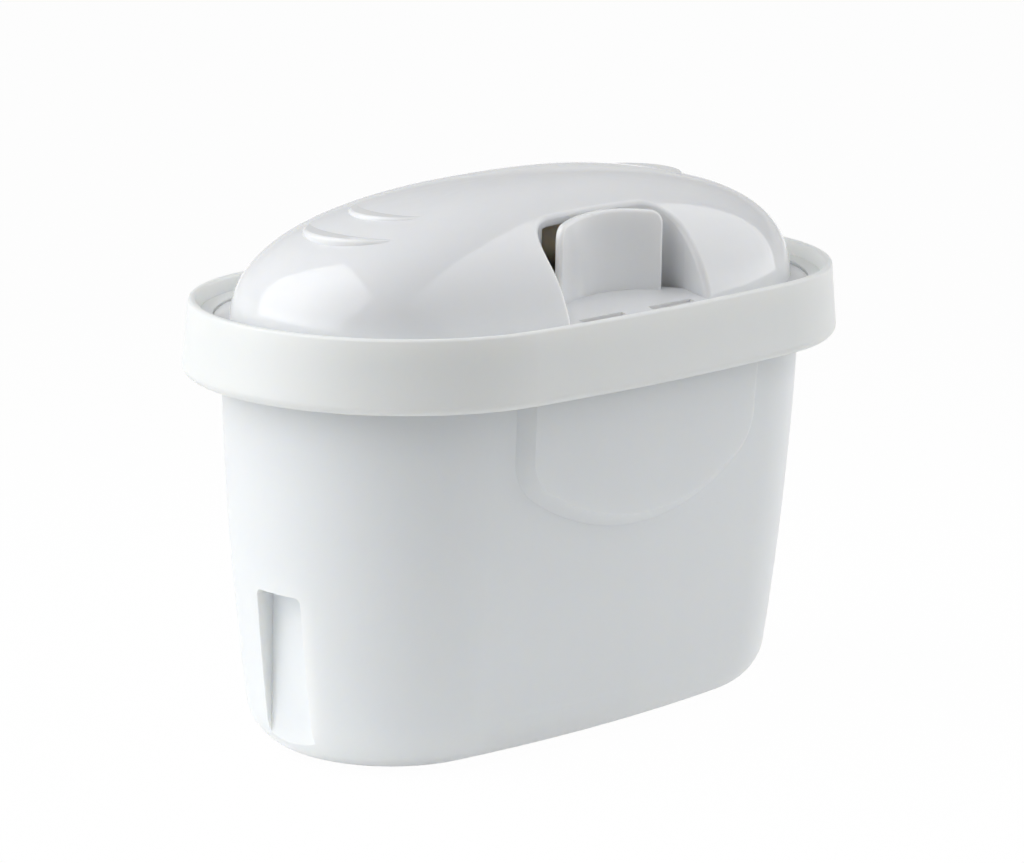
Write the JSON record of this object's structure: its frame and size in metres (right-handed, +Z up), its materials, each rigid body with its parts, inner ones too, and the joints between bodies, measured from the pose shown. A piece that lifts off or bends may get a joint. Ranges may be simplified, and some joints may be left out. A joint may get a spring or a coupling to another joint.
{
  "type": "water pitcher filter cartridge",
  "caption": "Oval filter cartridge for a water pitcher: a plastic cup of filter granules under a domed lid with finger recesses, held by a flared collar that hangs in the pitcher's funnel.",
  "frame": {"origin": "centre of the footprint, on the surface that the base stands on", "axes": "+X along the oval's length, +Y across it from the front finger recess to the back one, +Z up"},
  "size_m": [0.1078, 0.0616, 0.0781],
  "materials": {
    "collar_plastic": "satin",
    "cup_plastic": "satin",
    "lid_plastic": "gloss",
    "screen_mesh": "matte",
    "granules": "matte"
  },
  "bodies": {
    "root": {"collar": "collar_plastic", "cup": "cup_plastic", "lid": "lid_plastic", "inlet_screen": "screen_mesh", "outlet_screen": "screen_mesh", "granule_bed": "granules"}
  },
  "joints": []
}
